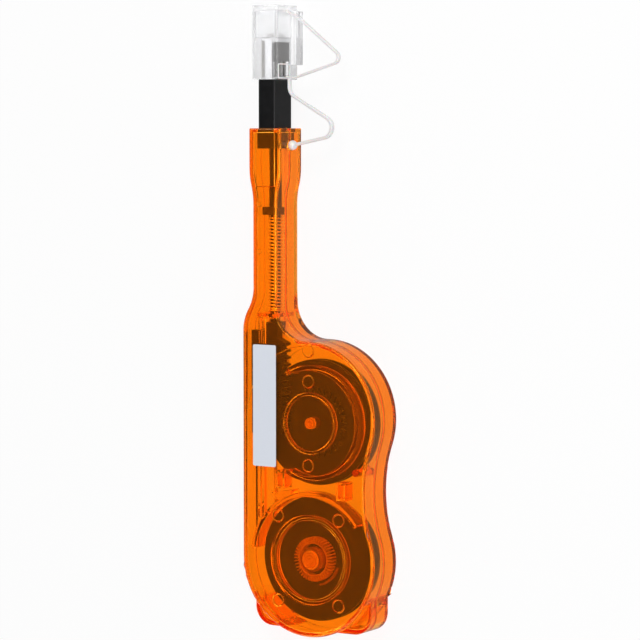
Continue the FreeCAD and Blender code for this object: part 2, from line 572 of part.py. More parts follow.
def return_spring():
    """Coil round the rod between the housing's partition and the seat."""
    length = dims.collar_y - dims.spring_low_y - dims.wire - dims.gap
    pitch = length / dims.spring_coils
    helix = Part.makeHelix(pitch, length, dims.spring_r)
    start = Vector(dims.spring_r, 0, 0)
    corners = [start + Vector(dims.wire / 2 * math.cos(a), 0, dims.wire / 2 * math.sin(a))
               for a in (math.tau * i / 4 for i in range(4))]
    section = Part.makePolygon(corners + corners[:1])
    coil = Part.Wire(helix.Edges).makePipeShell([section], True, True)
    obj = DOC.addObject("Part::Feature", "return_spring")
    obj.Shape = coil if coil.ShapeType == "Solid" else coil.Solids[0]
    turn = Rotation(Vector(1, 0, 0), -90)
    obj.Placement = Placement(Vector(dims.neck_x, dims.spring_low_y + (dims.wire + dims.gap) / 2, dims.rod_z), turn)
    return obj


# ---------------------------------------------------------------- ribbons: tape and straps
def ribbon(points, radii, width):
    """Outline of a flat strip of even width along straight runs joined by arcs."""
    edges = {1: [], -1: []}
    cursor = {s: None for s in edges}
    dirs = [tuple((b - a) / math.dist(p, q) for a, b in zip(p, q)) for p, q in zip(points, points[1:])]

    def side(p, d, s):
        return p[0] - s * d[1] * width / 2, p[1] + s * d[0] * width / 2

    for s in edges:
        cursor[s] = side(points[0], dirs[0], s)
    caps = [line((*cursor[1], 0), (*cursor[-1], 0))]
    for p, before, after, radius in zip(points[1:-1], dirs, dirs[1:], radii):
        turn = math.atan2(before[0] * after[1] - before[1] * after[0], before[0] * after[0] + before[1] * after[1])
        reach = radius * math.tan(abs(turn) / 2)
        hand = 1 if turn > 0 else -1
        start = (p[0] - before[0] * reach, p[1] - before[1] * reach)
        end = (p[0] + after[0] * reach, p[1] + after[1] * reach)
        centre = (start[0] - hand * before[1] * radius, start[1] + hand * before[0] * radius)
        for s in edges:
            a, b = side(start, before, s), side(end, after, s)
            edges[s] += [line((*cursor[s], 0), (*a, 0)), bend(centre, a, b)]
            cursor[s] = b
    for s in edges:
        last = side(points[-1], dirs[-1], s)
        edges[s].append(line((*cursor[s], 0), (*last, 0)))
        cursor[s] = last
    caps.append(line((*cursor[1], 0), (*cursor[-1], 0)))
    return edges[1] + edges[-1] + caps


def tapes():
    half = dims.tape_t / 2
    root, low, x = dims.nozzle_root, dims.neck_start, dims.neck_x
    feed = new_body("tape_feed_run")
    pad(feed, ribbon([(-dims.supply_tape_r - dims.tape_gap - half, 0), (x - dims.tape_off, low),
                      (x - dims.tape_off, root)], [dims.reel_pitch], dims.tape_t),
        f"{TAPE_LOW} + tape_gap", "tape_w - 2 * tape_gap")
    back = new_body("tape_return_run")
    pad(back, ribbon([(-dims.take_tape_r - dims.tape_gap - half, dims.reel_pitch),
                      (x + dims.tape_off, SHOULDER[1] - dims.shoulder_r), (x + dims.tape_off, root)],
                     [2 * dims.shoulder_r], dims.tape_t), f"{TAPE_LOW} + tape_gap", "tape_w - 2 * tape_gap")
    return [feed, back]


def straps():
    mid, t, x = f"{MID_Z} - strap_w / 2", dims.strap_t, dims.neck_x
    side = x + dims.cap_w / 2
    lid = new_body("lid_strap")
    pad(lid, ribbon([(side + t / 2, dims.cap_top - t), (x + dims.loop_x, dims.loop_y),
                     (side + t / 4, dims.cap_low + t / 2 + dims.gap)], [1.5 * t], t), mid, "strap_w")
    near, middle, far = x + dims.strap_x1, x + dims.strap_x2, x + dims.strap_x3
    lower = new_body("cap_strap")
    pad(lower, ribbon([(x + dims.flare_w / 2 + dims.button_r / 2, dims.button_y), (near, dims.strap_y1),
                       (middle, dims.strap_y2), (far, dims.strap_y3), (middle, dims.strap_y4),
                       (near, dims.strap_y5)], [7 * t, 4 * t, 2 * t, 4 * t], t), mid, "strap_w")
    pad(lower, [circle(dims.button_y, dims.thickness / 2, dims.button_r)], "neck_x + flare_w / 2 - wall",
        "wall + button_r", "YZ_Plane")
    pad(lower, [circle(dims.button_y, dims.thickness / 2, dims.button_head_r)],
        "neck_x + flare_w / 2 - wall - fit - button_head_t", "button_head_t + fit", "YZ_Plane")
    upper, end = new_body("cap_strap_end"), x + dims.strap_end
    pad(upper, ribbon([(near, dims.strap_y5), (end, dims.strap_y6), (end, dims.cap_low - 2 * dims.fit)], [1.3 * t], t),
        mid, "strap_w")
    return [lid, lower, upper]


# ---------------------------------------------------------------- guide cap
def guide_cap():
    low, web, top = "cap_low", "cap_web_y", "(cap_top - lid_t)"
    outer = rounded(centred("neck_x", MID_Z, low, "cap_w", "cap_d", f"{top} - {low}"), "cap_r",
                    lambda e: abs(e.Vertexes[0].Y - e.Vertexes[1].Y) > 1)
    side = "(neck_x + cap_w / 2)"
    thumb = box((f"{side} - gap", "pad_low", f"{MID_Z} - cap_d / 2 + fit"),
                ("pad_t + gap", f"{top} - pad_low", "pad_w"))
    body = cut(fuse(outer, thumb),
               centred("neck_x", MID_Z, f"{low} - 1", "guide_w + 4 * fit", "guide_d + 4 * fit", f"{web} - {low} + 2"),
               centred("neck_x", MID_Z, web, "socket_w", "socket_d", f"{top} - {web} + 1"),
               box(("neck_x", f"{low} + cap_w / 2 - socket_w / 2", f"{MID_Z} + window_z - window_w / 2"),
                   ("cap_w", "window_l", "window_w")),
               name="guide_cap")
    lid = cut(fuse(rounded(centred("neck_x", MID_Z, top, "cap_w", "cap_d", "lid_t"), "cap_r",
                           lambda e: abs(e.Vertexes[0].Y - e.Vertexes[1].Y) > 1),
                   centred("neck_x", MID_Z, f"{top} - plug_l", "socket_w - 4 * fit", "socket_d - 4 * fit",
                           "plug_l + 0.1")),
              centred("neck_x", MID_Z, f"{top} - plug_l - 1", "socket_w - 4 * fit - 2 * plug_wall",
                      "socket_d - 4 * fit - 2 * plug_wall", "plug_l + 1"),
              name="cap_lid")
    return [body, lid]


def label():
    body = new_body("label")
    left, low, r = dims.label_left, dims.label_low, dims.label_r
    right, high = left + dims.label_w, low + dims.label_l
    corners = ((right - r, high - r, 0), (left + r, high - r, 1), (left + r, low + r, 2), (right - r, low + r, 3))
    edges = [arc((x, y), r, i * math.pi / 2, (i + 1) * math.pi / 2) for x, y, i in corners]
    edges += [line((right, low + r, 0), (right, high - r, 0)), line((right - r, high, 0), (left + r, high, 0)),
              line((left, high - r, 0), (left, low + r, 0)), line((left + r, low, 0), (right - r, low, 0))]
    pad(body, edges, "thickness", "label_t")
    return body


def stop_pawl():
    """Click pawl at the rim of the take-up reel."""
    body = new_body("stop_pawl")
    reach = (dims.flange_r + dims.gap + dims.tie_r) / math.sqrt(2)
    x, y = reach, dims.reel_pitch - reach
    pad(body, [circle(x, y, dims.tie_r)], "wall", f"{CARRIAGE_LOW} + carriage_t / 2 - wall")
    pad(body, ribbon([(x, y), (x + 1.8 * dims.tie_r, y + 0.9 * dims.tie_r), (x + 2.8 * dims.tie_r, y + 2.3 * dims.tie_r)],
                     [1.5 * dims.tie_r], 0.7 * dims.tie_r), f"{CARRIAGE_LOW}", "carriage_t / 2")
    return body


NODES = [front_shell(), back_shell(), *reels(), drive_gear(), *detent(), carriage(), *plunger(), return_spring(),
         *tapes(), *straps(), *guide_cap(), label(), stop_pawl()]
DOC.recompute()
broken = [f"{o.Label} {o.State}" for o in DOC.Objects if {"Invalid", "Error"} & set(o.State)]
broken += [n.Label for n in NODES if n.Shape.isNull() or not n.Shape.isValid()]
if broken:
    raise SystemExit("broken: " + "; ".join(broken))

os.makedirs("parts", exist_ok=True)
for node in NODES:
    node.Shape.exportStep(f"parts/{node.Label}.step")
    print(node.Label, "solids", len(node.Shape.Solids), "volume", round(node.Shape.Volume, 1))
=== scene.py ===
"""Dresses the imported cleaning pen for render: finishes, soft parts, studio and camera.

The pen lies on its back in the frame of its solids: +X to the right seen from the front, +Y along the
pen towards the nozzle, +Z from the back face to the front face.  Sizes in the classes are millimetres.
"""

import json
import logging
import math
from dataclasses import dataclass
from enum import Enum

import bmesh
import bpy
import numpy as np
from mathutils import Matrix, Vector

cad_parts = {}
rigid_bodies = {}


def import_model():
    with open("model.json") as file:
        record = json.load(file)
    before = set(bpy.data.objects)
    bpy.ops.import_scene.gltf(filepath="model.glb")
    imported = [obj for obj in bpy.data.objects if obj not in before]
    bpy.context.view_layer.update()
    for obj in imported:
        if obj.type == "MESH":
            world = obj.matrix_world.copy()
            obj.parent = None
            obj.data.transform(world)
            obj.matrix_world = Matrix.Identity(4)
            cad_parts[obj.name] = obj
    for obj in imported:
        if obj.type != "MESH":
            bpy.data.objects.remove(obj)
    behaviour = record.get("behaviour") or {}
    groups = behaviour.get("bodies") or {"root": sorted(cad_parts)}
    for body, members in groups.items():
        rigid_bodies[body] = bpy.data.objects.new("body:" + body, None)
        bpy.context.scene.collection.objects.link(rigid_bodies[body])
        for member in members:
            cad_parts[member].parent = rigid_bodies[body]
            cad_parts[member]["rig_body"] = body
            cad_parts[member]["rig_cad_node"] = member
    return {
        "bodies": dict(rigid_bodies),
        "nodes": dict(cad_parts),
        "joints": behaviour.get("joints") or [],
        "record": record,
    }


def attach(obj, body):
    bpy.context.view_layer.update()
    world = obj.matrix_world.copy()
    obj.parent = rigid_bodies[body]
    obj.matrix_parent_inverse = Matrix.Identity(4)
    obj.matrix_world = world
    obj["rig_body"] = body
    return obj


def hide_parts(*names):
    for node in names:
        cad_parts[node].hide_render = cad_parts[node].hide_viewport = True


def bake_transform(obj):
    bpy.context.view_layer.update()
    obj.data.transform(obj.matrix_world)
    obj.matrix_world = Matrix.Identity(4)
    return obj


LOG = logging.getLogger("cleaning_pen")
MM = 0.001
MERGE_DISTANCE = 2e-6
FLAT_ANGLE = 0.2
CREASE_ANGLE = 40.0
LIGHT_BOUNCES = 40
UP = (0.0, 0.0, 1.0)
Point = tuple[float, float, float]
Pair = tuple[float, float]
Colour = tuple[float, float, float]
AxisMap = tuple[int, tuple[float, ...], tuple[float, ...]]


# ---------------------------------------------------------------- node helpers
def socket_value(node: bpy.types.Node, **values: object) -> None:
    """Set plain sockets of a node; an underscore in a name stands for a space."""
    for name, value in values.items():
        node.inputs[name.replace("_", " ")].default_value = value


def rgba(colour: Colour) -> tuple[float, float, float, float]:
    """A colour with full alpha."""
    return (*colour, 1.0)


def noise(tree: bpy.types.NodeTree, scale: float, detail: float = 3.0) -> bpy.types.NodeSocket:
    """Noise on object coordinates.

    Args:
        tree: The material's node tree.
        scale: Number of features per metre.
        detail: Octaves.

    Returns:
        The noise factor.
    """
    place = tree.nodes.new("ShaderNodeTexCoord")
    texture = tree.nodes.new("ShaderNodeTexNoise")
    socket_value(texture, Scale=scale, Detail=detail)
    tree.links.new(place.outputs["Object"], texture.inputs["Vector"])
    return texture.outputs["Fac"]


def spread(tree: bpy.types.NodeTree, source: bpy.types.NodeSocket, low: float, high: float) -> bpy.types.NodeSocket:
    """Map the middle of a noise factor to a range.

    Args:
        tree: The material's node tree.
        source: The factor, mostly between 0.3 and 0.7.
        low: Value at 0.3.
        high: Value at 0.7.

    Returns:
        The mapped value.
    """
    ramp = tree.nodes.new("ShaderNodeMapRange")
    for index, value in ((1, 0.3), (2, 0.7), (3, low), (4, high)):
        ramp.inputs[index].default_value = value
    tree.links.new(source, ramp.inputs[0])
    return ramp.outputs[0]


def bump(tree: bpy.types.NodeTree, shader: bpy.types.Node, height: bpy.types.NodeSocket, depth: float) -> None:
    """Feed a height into a shader's normal.

    Args:
        tree: The material's node tree.
        shader: The shader.
        height: The height, from 0 to 1.
        depth: What a height of 1 stands for, in metres.
    """
    node = tree.nodes.new("ShaderNodeBump")
    socket_value(node, Strength=1.0, Distance=depth)
    tree.links.new(height, node.inputs["Height"])
    tree.links.new(node.outputs["Normal"], shader.inputs["Normal"])


def reckon(tree: bpy.types.NodeTree, operation: str, *operands: bpy.types.NodeSocket | float,
           clamp: bool = False) -> bpy.types.NodeSocket:
    """Join operands in one node of arithmetic.

    Args:
        tree: The node tree.
        operation: Name of the operation.
        operands: Sockets to link or numbers to set, in order.
        clamp: Whether the result stays between 0 and 1.

    Returns:
        The result.
    """
    node = tree.nodes.new("ShaderNodeMath")
    node.operation, node.use_clamp = operation, clamp
    for socket, operand in zip(node.inputs, operands):
        if isinstance(operand, bpy.types.NodeSocket):
            tree.links.new(operand, socket)
        else:
            socket.default_value = operand
    return node.outputs[0]


# ---------------------------------------------------------------- finishes
@dataclass(frozen=True)
class ClearPlastic:
    """See-through moulding: glass with absorption, and tinted light for what lies inside."""

    tint: Colour
    passed: Colour
    per_metre: float
    lamp: Colour
    roughness: float = 0.02
    ripple: float = 2e-6
    share: float = 1.0
    ior: float = 1.49
    glint: Colour = (1.0, 1.0, 1.0)
    wave_scale: float = 260.0

    def make(self, name: str) -> bpy.types.Material:
        """Build the material.

        Args:
            name: Name of the material.

        Returns:
            Principled glass over a plain absorption, which lamps pass through by a transparent stand-in.
        """
        material, tree, shader, out = blank(name)
        socket_value(shader, Base_Color=rgba(self.tint), Transmission_Weight=self.share, IOR=self.ior,
                     Roughness=self.roughness, Specular_Tint=rgba(self.glint))
        bump(tree, shader, noise(tree, self.wave_scale, 2.0), self.ripple)
        path = tree.nodes.new("ShaderNodeLightPath")
        clear = tree.nodes.new("ShaderNodeBsdfTransparent")
        clear.inputs[0].default_value = rgba(self.lamp)
        mix = tree.nodes.new("ShaderNodeMixShader")
        tree.links.new(path.outputs["Is Shadow Ray"], mix.inputs[0])
        tree.links.new(shader.outputs[0], mix.inputs[1])
        tree.links.new(clear.outputs[0], mix.inputs[2])
        tree.links.new(mix.outputs[0], out.inputs["Surface"])
        if self.per_metre:
            volume = tree.nodes.new("ShaderNodeVolumeAbsorption")
            volume.inputs["Color"].default_value = rgba(self.passed)
            volume.inputs["Density"].default_value = self.per_metre
            tree.links.new(volume.outputs[0], out.inputs["Volume"])
        return material


@dataclass(frozen=True)
class Moulded:
    """Opaque plastic with a faint mottle, a fine moulded grain and uneven gloss."""

    colour: Colour
    rough_low: float
    rough_high: float
    grain: float = 2500.0
    depth: float = 4e-6
    mottle: float = 0.12
    glow: float = 0.0
    shine: float = 0.5
    mottle_scale: float = 180.0
    gloss_scale: float = 420.0
    glow_depth: float = 0.001

    def make(self, name: str) -> bpy.types.Material:
        """Build the material.

        Args:
            name: Name of the material.

        Returns:
            Principled plastic with noise in its colour, roughness and surface.
        """
        material, tree, shader, out = blank(name)
        tree.links.new(shader.outputs[0], out.inputs["Surface"])
        mix = tree.nodes.new("ShaderNodeMix")
        mix.data_type = "RGBA"
        for socket, share in ((mix.inputs[6], 1 - self.mottle), (mix.inputs[7], 1 + self.mottle)):
            socket.default_value = rgba(tuple(min(c * share, 1.0) for c in self.colour))
        tree.links.new(spread(tree, noise(tree, self.mottle_scale), 0.0, 1.0), mix.inputs[0])
        tree.links.new(mix.outputs[2], shader.inputs["Base Color"])
        gloss = spread(tree, noise(tree, self.gloss_scale), self.rough_low, self.rough_high)
        tree.links.new(gloss, shader.inputs["Roughness"])
        bump(tree, shader, noise(tree, self.grain, 2.0), self.depth)
        socket_value(shader, Specular_IOR_Level=self.shine)
        if self.glow:
            socket_value(shader, Subsurface_Weight=self.glow, Subsurface_Scale=self.glow_depth)
        return material


@dataclass(frozen=True)
class Wire:
    """Drawn metal with fine lengthwise marks."""

    colour: Colour
    roughness: float
    mark_scale: float = 900.0

    def make(self, name: str) -> bpy.types.Material:
        """Build the material.

        Args:
            name: Name of the material.

        Returns:
            Metal with uneven roughness.
        """
        material, tree, shader, out = blank(name)
        tree.links.new(shader.outputs[0], out.inputs["Surface"])
        socket_value(shader, Base_Color=rgba(self.colour), Metallic=1.0)
        gloss = spread(tree, noise(tree, self.mark_scale), self.roughness * 0.7, self.roughness * 1.4)
        tree.links.new(gloss, shader.inputs["Roughness"])
        return material


@dataclass(frozen=True)
class Woven:
    """Fine woven cleaning tape: a grid of threads in the surface."""

    colour: Colour
    pitch: float = 0.00035
    thread: float = 3e-5
    roughness: float = 0.9

    def make(self, name: str) -> bpy.types.Material:
        """Build the material.

        Args:
            name: Name of the material.

        Returns:
            A matt finish with two crossed waves on object coordinates in its surface.
        """
        material, tree, shader, out = blank(name)
        tree.links.new(shader.outputs[0], out.inputs["Surface"])
        socket_value(shader, Base_Color=rgba(self.colour), Roughness=self.roughness)
        place = tree.nodes.new("ShaderNodeTexCoord")
        heights = []
        for axis in ("Y", "Z"):
            wave = tree.nodes.new("ShaderNodeTexWave")
            wave.bands_direction = axis
            socket_value(wave, Scale=1 / (self.pitch * 20))
            tree.links.new(place.outputs["Object"], wave.inputs["Vector"])
            heights.append(wave.outputs["Fac"])
        bump(tree, shader, reckon(tree, "ADD", *heights), self.thread)
        return material


@dataclass(frozen=True)
class Paper:
    """Coated label stock with a faint fibre."""

    colour: Colour
    roughness: float = 0.35
    fibre_scale: float = 3000.0
    surface_scale: float = 1500.0
    depth: float = 3e-6

    def make(self, name: str) -> bpy.types.Material:
        """Build the material.

        Args:
            name: Name of the material.

        Returns:
            A slightly uneven white with a soft gloss.
        """
        material, tree, shader, out = blank(name)
        tree.links.new(shader.outputs[0], out.inputs["Surface"])
        mix = tree.nodes.new("ShaderNodeMix")
        mix.data_type = "RGBA"
        mix.inputs[6].default_value = rgba(tuple(c * 0.97 for c in self.colour))
        mix.inputs[7].default_value = rgba(self.colour)
        tree.links.new(spread(tree, noise(tree, self.fibre_scale, 4.0), 0.0, 1.0), mix.inputs[0])
        tree.links.new(mix.outputs[2], shader.inputs["Base Color"])
        socket_value(shader, Roughness=self.roughness)
        bump(tree, shader, noise(tree, self.surface_scale), self.depth)
        return material


def blank(name: str) -> tuple[bpy.types.Material, bpy.types.NodeTree, bpy.types.Node, bpy.types.Node]:
    """A new node material.

    Args:
        name: Name of the material.

    Returns:
        The material, its tree, its Principled node and its output.
    """
    material = bpy.data.materials.new(name)
    material.use_nodes = True
    tree = material.node_tree
    tree.nodes.clear()
    shader = tree.nodes.new("ShaderNodeBsdfPrincipled")
    out = tree.nodes.new("ShaderNodeOutputMaterial")
    return material, tree, shader, out


class Palette(Enum):
    """The finishes of the pen."""

    CLEAR_ORANGE = ClearPlastic((1.0, 0.46, 0.055), (1.0, 0.78, 0.0), 150.0, (1.0, 0.5, 0.1), share=0.972,
                                glint=(1.0, 0.42, 0.05))
    MILKY_ORANGE = ClearPlastic((0.86, 0.42, 0.05), (1.0, 0.6, 0.0), 0.0, (1.0, 0.5, 0.1), 0.1, share=0.82,
                                glint=(1.0, 0.5, 0.12))
    FROSTED = ClearPlastic((0.955, 0.955, 0.96), (1.0, 1.0, 1.0), 0.0, (0.93, 0.93, 0.94), 0.27, 2e-6, 0.82)
    BLACK = Moulded((0.006, 0.006, 0.0065), 0.3, 0.42, depth=1e-6, shine=0.3)
    SMOKY = Moulded((0.02, 0.016, 0.014), 0.3, 0.45)
    GREY = Moulded((0.25, 0.24, 0.23), 0.3, 0.5)
    PALE_GREY = Moulded((0.62, 0.62, 0.63), 0.3, 0.5)
    AMBER = Moulded((0.5, 0.26, 0.05), 0.25, 0.4, depth=1e-6)
    SOFT_WHITE = Moulded((0.8, 0.79, 0.79), 0.35, 0.5, mottle=0.03, glow=0.3)
    SPRING = Wire((0.95, 0.92, 0.88), 0.4)
    TAPE = Woven((0.85, 0.86, 0.84))
    LABEL = Paper((0.76, 0.8, 0.88))

    def material(self) -> bpy.types.Material:
        """The finish's material, made once."""
        name = "finish_" + self.name.lower()
        return bpy.data.materials.get(name) or self.value.make(name)


def dress(obj: bpy.types.Object, finish: Palette) -> None:
    """Give an object one finish in all its slots.

    Args:
        obj: The object.
        finish: Its finish.
    """
    material = finish.material()
    if not obj.material_slots:
        obj.data.materials.append(material)
    for slot in obj.material_slots:
        slot.material = material


# ---------------------------------------------------------------- surfaces
def signed_volume(points: np.ndarray, faces: list[tuple[int, ...]]) -> float:
    """Sum over the triangle fans of p . (q x r) / 6, positive where faces point outwards.

    Args:
        points: Vertices.
        faces: Vertex indices of each face.

    Returns:
        The volume.
    """
    total = 0.0
    for face in faces:
        corners = points[list(face)]
        fan = np.cross(corners[1:-1], corners[2:])
        total += float(np.sum(fan @ corners[0])) / 6
    return total


def mesh_object(name: str, points: np.ndarray, faces: list[tuple[int, ...]], smooth: bool = True) -> bpy.types.Object:
    """Put a closed surface in the scene with its faces pointing outwards.

    Args:
        name: Name of the piece.
        points: Vertices in millimetres.
        faces: Vertex indices of each face, all turned the same way.
        smooth: Whether faces share their normals across soft edges.

    Returns:
        The new object.
    """
    if signed_volume(points, faces) < 0:
        faces = [tuple(reversed(face)) for face in faces]
    mesh = bpy.data.meshes.new(name)
    mesh.from_pydata((points * MM).tolist(), [], faces)
    mesh.validate()
    obj = bpy.data.objects.new(name, mesh)
    bpy.context.scene.collection.objects.link(obj)
    if smooth:
        mesh.shade_smooth()
        mesh.set_sharp_from_angle(angle=math.radians(CREASE_ANGLE))
    return obj


def mesh_points(mesh: bpy.types.Mesh) -> np.ndarray:
    """The vertices of a mesh, one row each."""
    points = np.empty(len(mesh.vertices) * 3)
    mesh.vertices.foreach_get("co", points)
    return points.reshape(-1, 3)


def place_points(mesh: bpy.types.Mesh, points: np.ndarray) -> None:
    """Put the vertices of a mesh in new places."""
    mesh.vertices.foreach_set("co", points.ravel())
    mesh.update()


def eased_copy(node: bpy.types.Object, name: str, width: float, angle: float = 38.0,
               stretch: tuple[AxisMap, ...] = ()) -> bpy.types.Object:
    """A copy of a solid with its doubles merged, its flats cleaned and its sharp edges eased.

    Args:
        node: The solid.
        name: Name of the copy.
        width: Width of the eased edge in millimetres.
        angle: Edges sharper than this many degrees are eased.
        stretch: For each axis that is stretched, places before and after, between which it goes by straight runs.

    Returns:
        The copy, which stands for the solid on its body and in its slot.
    """
    mesh = node.data.copy()
    work = bmesh.new()
    work.from_mesh(mesh)
    bmesh.ops.remove_doubles(work, verts=work.verts, dist=MERGE_DISTANCE)
    bmesh.ops.dissolve_limit(work, angle_limit=math.radians(FLAT_ANGLE), verts=work.verts, edges=work.edges)
    work.to_mesh(mesh)
    work.free()
    points = mesh_points(mesh)
    for axis, before, after in stretch:
        points[:, axis] = np.interp(points[:, axis], np.array(before) * MM, np.array(after) * MM)
    place_points(mesh, points)
    mesh.shade_smooth()
    mesh.set_sharp_from_angle(angle=math.radians(angle))
    obj = bpy.data.objects.new(name, mesh)
    bpy.context.scene.collection.objects.link(obj)
    low, high = points.min(0), points.max(0)
    ease = obj.modifiers.new("eased_edges", "BEVEL")
    ease.width, ease.segments, ease.limit_method = width * MM, 2, "ANGLE"
    ease.angle_limit, ease.use_clamp_overlap, ease.harden_normals = math.radians(angle), False, False
    mesh = bpy.data.meshes.new_from_object(obj.evaluated_get(bpy.context.evaluated_depsgraph_get()))
    obj.modifiers.clear()
    obj.data = mesh
    place_points(mesh, np.clip(mesh_points(mesh), low, high))
    even = obj.modifiers.new("even_flats", "WEIGHTED_NORMAL")
    even.mode, even.weight, even.keep_sharp = "FACE_AREA", 90, True
    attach(obj, node["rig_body"])
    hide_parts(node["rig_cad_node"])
    return obj


def tube_faces(rings: int, around: int, closed: bool) -> list[tuple[int, ...]]:
    """Quads between consecutive rings, with flat caps on an open tube.

    Args:
        rings: Number of rings along the tube.
        around: Points in each ring.
        closed: Whether the last ring joins the first.

    Returns:
        The faces.
    """
    first, step = np.meshgrid(np.arange(rings if closed else rings - 1), np.arange(around), indexing="ij")
    after, turn = (first + 1) % rings, (step + 1) % around
    quads = np.stack([first * around + step, first * around + turn, after * around + turn, after * around + step], -1)
    faces = [tuple(q) for q in quads.reshape(-1, 4).tolist()]
    if not closed:
        faces += [tuple(range(around - 1, -1, -1)), tuple(range((rings - 1) * around, rings * around))]
    return faces


def smooth_path(corners: np.ndarray, radii: list[float], step: float = 0.25) -> np.ndarray:
    """Straight runs joined by arcs: each corner is replaced by the arc that touches both of its runs.

    Args:
        corners: Points of the path, one row each.
        radii: Arc radius at each inner corner.
        step: Spacing of the points on the arcs.

    Returns:
        Points along the path.
    """
    points = [corners[:1]]
    for before, corner, after, radius in zip(corners[:-2], corners[1:-1], corners[2:], radii):
        towards, away = corner - before, after - corner
        towards, away = towards / np.linalg.norm(towards), away / np.linalg.norm(away)
        turn = math.acos(float(np.clip(towards @ away, -1, 1)))
        reach = radius * math.tan(turn / 2)
        start = corner - towards * reach
        inward = away - towards * (towards @ away)
        inward = inward / np.linalg.norm(inward)
        angles = np.linspace(0, turn, max(3, int(radius * turn / step) + 2))[:, None]
        points.append(start + radius * (np.sin(angles) * towards + (1 - np.cos(angles)) * inward))
    points.append(corners[-1:])
    return np.concatenate(points)


def strip(path: np.ndarray, profile: np.ndarray) -> np.ndarray:
    """Carry a profile along a flat path: its first axis lies across the path in the XY plane, its second along Z.

    Args:
        path: Points along the strip, in the XY plane at one height.
        profile: Closed outline of the section.

    Returns:
        Ring after ring of points.
    """
    along = np.gradient(path, axis=0)
    along /= np.linalg.norm(along, axis=1, keepdims=True)
    across = np.stack([along[:, 1], -along[:, 0], np.zeros(len(along))], 1)
    rings = path[:, None] + across[:, None] * profile[None, :, :1] + np.array(UP) * profile[None, :, 1:]
    return rings.reshape(-1, 3)


def evened(path: np.ndarray, step: float) -> np.ndarray:
    """The same path with points at even distances along it, by straight runs between the old ones.

    Args:
        path: Points along the path.
        step: Greatest distance between points.

    Returns:
        The new points.
    """
    run = np.concatenate([[0.0], np.cumsum(np.linalg.norm(np.diff(path, axis=0), axis=1))])
    marks = np.linspace(0.0, run[-1], int(run[-1] / step) + 2)
    return np.stack([np.interp(marks, run, column) for column in path.T], 1)


def sphere(centre: Point, radius: float, rows: int = 14,
           around: int = 24) -> tuple[np.ndarray, list[tuple[int, ...]]]:
    """Ball of rings between two poles: ring i lies at the angle pi i / rows from the pole.

    Args:
        centre: Its middle.
        radius: Its radius.
        rows: Steps from pole to pole.
        around: Points in each ring.

    Returns:
        Points and faces.
    """
    polar = np.linspace(0, math.pi, rows + 1)[1:-1, None]
    turn = math.tau * np.arange(around)[None] / around
    rings = np.stack([np.sin(polar) * np.cos(turn), np.sin(polar) * np.sin(turn), np.cos(polar) + 0 * turn], -1)
    return np.array(centre) + radius * rings.reshape(-1, 3), tube_faces(rows - 1, around, False)


def block(name: str, low: tuple[float, ...], high: tuple[float, ...]) -> bpy.types.Object:
    """Box between two corners: point (i, j, k) of a 2 x 2 x 2 grid takes its low or high side on each axis.

    Args:
        name: Name of the piece.
        low: Its lowest corner.
        high: Its highest corner.

    Returns:
        The box.
    """
    pick = np.stack(np.meshgrid([0, 1], [0, 1], [0, 1], indexing="ij"), -1).reshape(-1, 3)
    points = np.where(pick == 1, np.array(high), np.array(low))
    faces = [(0, 1, 3, 2), (4, 6, 7, 5), (0, 4, 5, 1), (2, 3, 7, 6), (0, 2, 6, 4), (1, 5, 7, 3)]
    return mesh_object(name, points, faces, smooth=False)


def lathe(name: str, centre: Point, profile: np.ndarray, around: int = 64) -> bpy.types.Object:
    """Profile of (radius, height) rows turned about an upright axis: point (i, j) lies at angle tau j / around.

    Args:
        name: Name of the piece.
        centre: Foot of the axis.
        profile: Rows of radius and height, from the axis back to the axis.
        around: Points in each ring.

    Returns:
        The turned piece.
    """
    turn = math.tau * np.arange(around)[None] / around
    radius, height = profile[:, 0, None], profile[:, 1, None]
    rings = np.stack([radius * np.cos(turn), radius * np.sin(turn), height + 0 * turn], -1)
    return mesh_object(name, np.array(centre) + rings.reshape(-1, 3), tube_faces(len(profile), around, False))


def bead_loop(name: str, corners: np.ndarray, radius: float, steps: int = 5, around: int = 8) -> bpy.types.Object:
    """Round bead along a closed flat loop: each corner is turned by an arc of twice the bead's radius.

    Args:
        name: Name of the piece.
        corners: Corners of the loop, one row each.
        radius: Radius of the bead.
        steps: Points on each arc.
        around: Points round the bead.

    Returns:
        The bead.
    """
    before, after = np.roll(corners, 1, 0) - corners, np.roll(corners, -1, 0) - corners
    before /= np.linalg.norm(before, axis=1, keepdims=True)
    after /= np.linalg.norm(after, axis=1, keepdims=True)
    angles = np.linspace(0, math.pi / 2, steps)[None, :, None]
    reach = 2 * radius
    bend = (1 - np.sin(angles)) * before[:, None] + (1 - np.cos(angles)) * after[:, None]
    path = (corners[:, None] + reach * bend).reshape(-1, 3)
    along = np.roll(path, -1, 0) - np.roll(path, 1, 0)
    along /= np.linalg.norm(along, axis=1, keepdims=True)
    normal = np.cross(before[0], after[0])
    across = np.cross(along, normal)
    turn = math.tau * np.arange(around)[None, :, None] / around
    rings = path[:, None] + radius * (np.cos(turn) * across[:, None] + np.sin(turn) * normal)
    return mesh_object(name, rings.reshape(-1, 3), tube_faces(len(path), around, True))


def rounded_section(wide: float, high: float, radius: float, steps: int = 4) -> np.ndarray:
    """Rectangle with round corners: quarter circles about four centres.

    Args:
        wide: Width.
        high: Height.
        radius: Corner radius.
        steps: Points on each quarter.

    Returns:
        Points round the outline.
    """
    angles = np.linspace(0, math.pi / 2, steps)
    arcs = []
    for quarter, (sx, sy) in enumerate(((1, 1), (-1, 1), (-1, -1), (1, -1))):
        turned = angles + quarter * math.pi / 2
        centre = np.array([sx * (wide / 2 - radius), sy * (high / 2 - radius)])
        arcs.append(centre + radius * np.stack([np.cos(turned), np.sin(turned)], 1))
    return np.concatenate(arcs)


